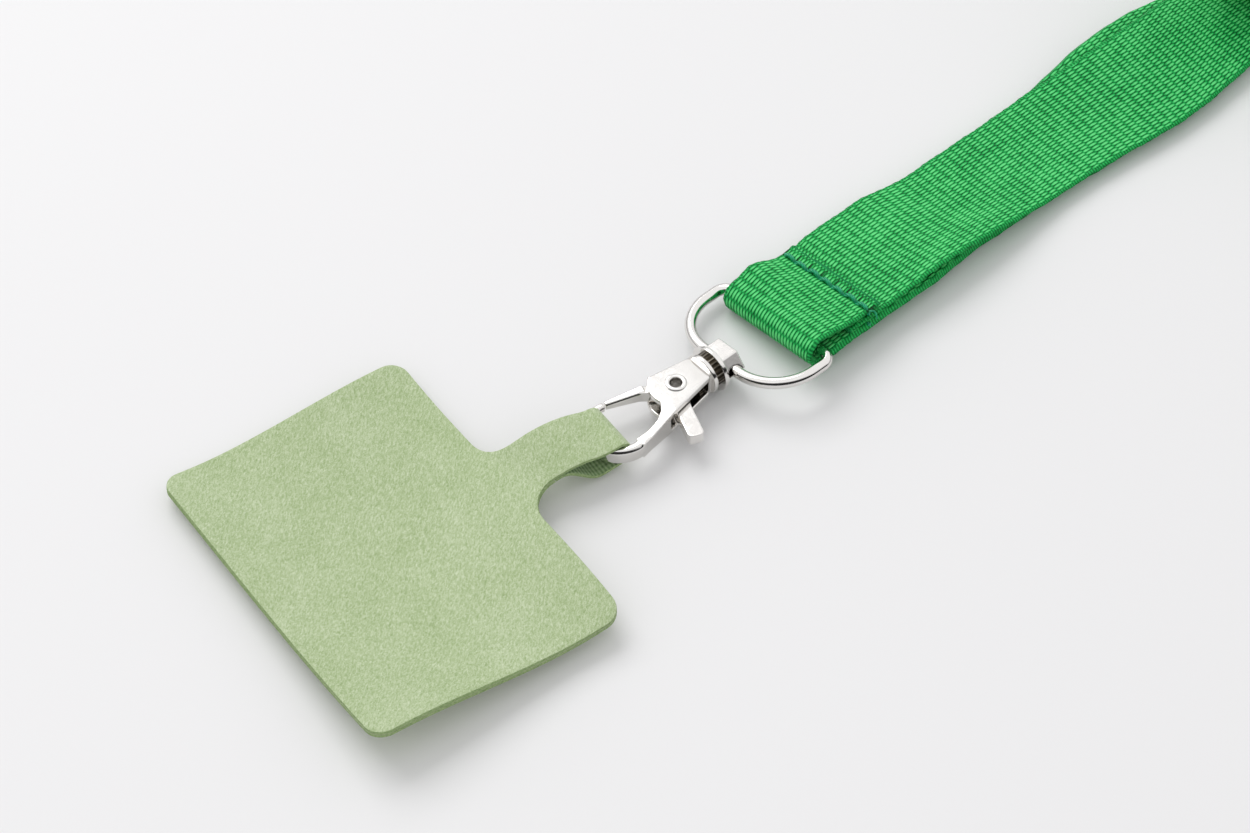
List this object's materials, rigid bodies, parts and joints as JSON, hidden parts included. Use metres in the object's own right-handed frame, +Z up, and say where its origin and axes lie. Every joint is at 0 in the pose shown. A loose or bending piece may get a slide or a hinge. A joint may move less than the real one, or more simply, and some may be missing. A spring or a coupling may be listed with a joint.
{
  "type": "lanyard badge holder",
  "caption": "Rounded suede badge patch whose tab loops through a swivel trigger hook, on a D-ring sewn to a flat woven neck strap.",
  "frame": {"origin": "centre of the badge patch's back face, on the surface that the holder lies on", "axes": "+X along the hook's swivel axis, towards the neck strap; +Z up, out of the patch's front"},
  "size_m": [0.2392, 0.066, 0.037],
  "materials": {
    "webbing": "matte ribbed polyester weave",
    "thread": "satin twisted polyester thread",
    "nickel": "polished nickel plate",
    "spring_steel": "drawn wire",
    "suede": "brushed microfibre suede",
    "suede_back": "ribbed woven backing",
    "film": "hot-melt film"
  },
  "bodies": {
    "strap": {"strap_lower_leg": "webbing", "strap_upper_leg": "webbing", "strap_roll": "webbing", "needle_thread": "thread", "bobbin_thread": "thread"},
    "ring": {"d_ring": "nickel", "swivel_block": "nickel", "swivel_stud": "nickel"},
    "hook": {"hook_body": "nickel", "gate_rivet": "nickel", "gate_spring": "spring_steel"},
    "gate": {"gate": "nickel"},
    "tab": {"tab_loop": "suede"},
    "patch": {"front_ply": "suede", "adhesive_film": "film", "back_ply": "suede_back"}
  },
  "joints": [
    {"name": "ring_tilt", "type": "hinge", "parent": "strap", "child": "ring", "pos_m": [0.07419, -0.0054, 0.004], "axis": [0, 0.9925, -0.1219], "range_deg": [-90, 90]},
    {"name": "hook_swivel", "type": "hinge", "parent": "ring", "child": "hook", "pos_m": [0.05839, -0.0054, 0.004], "axis": [1, 0, 0], "continuous": true},
    {"name": "gate_hinge", "type": "hinge", "parent": "hook", "child": "gate", "pos_m": [0.05229, -0.0054, 0.004], "axis": [0, 0, 1], "range_deg": [0, 26], "stiffness_Nm_per_rad": 0.012, "springref_deg": -10.31, "deforming": ["gate_spring"]},
    {"name": "tab_swing", "type": "hinge", "parent": "hook", "child": "tab", "pos_m": [0.04069, -0.005, 0.004], "axis": [0, 0, 1], "range_deg": [-15, 20]},
    {"name": "patch_flex", "type": "hinge", "parent": "tab", "child": "patch", "pos_m": [0.0272, -0.00334, 0.0042], "axis": [0.1219, 0.9925, 0], "range_deg": [-60, 60]}
  ]
}
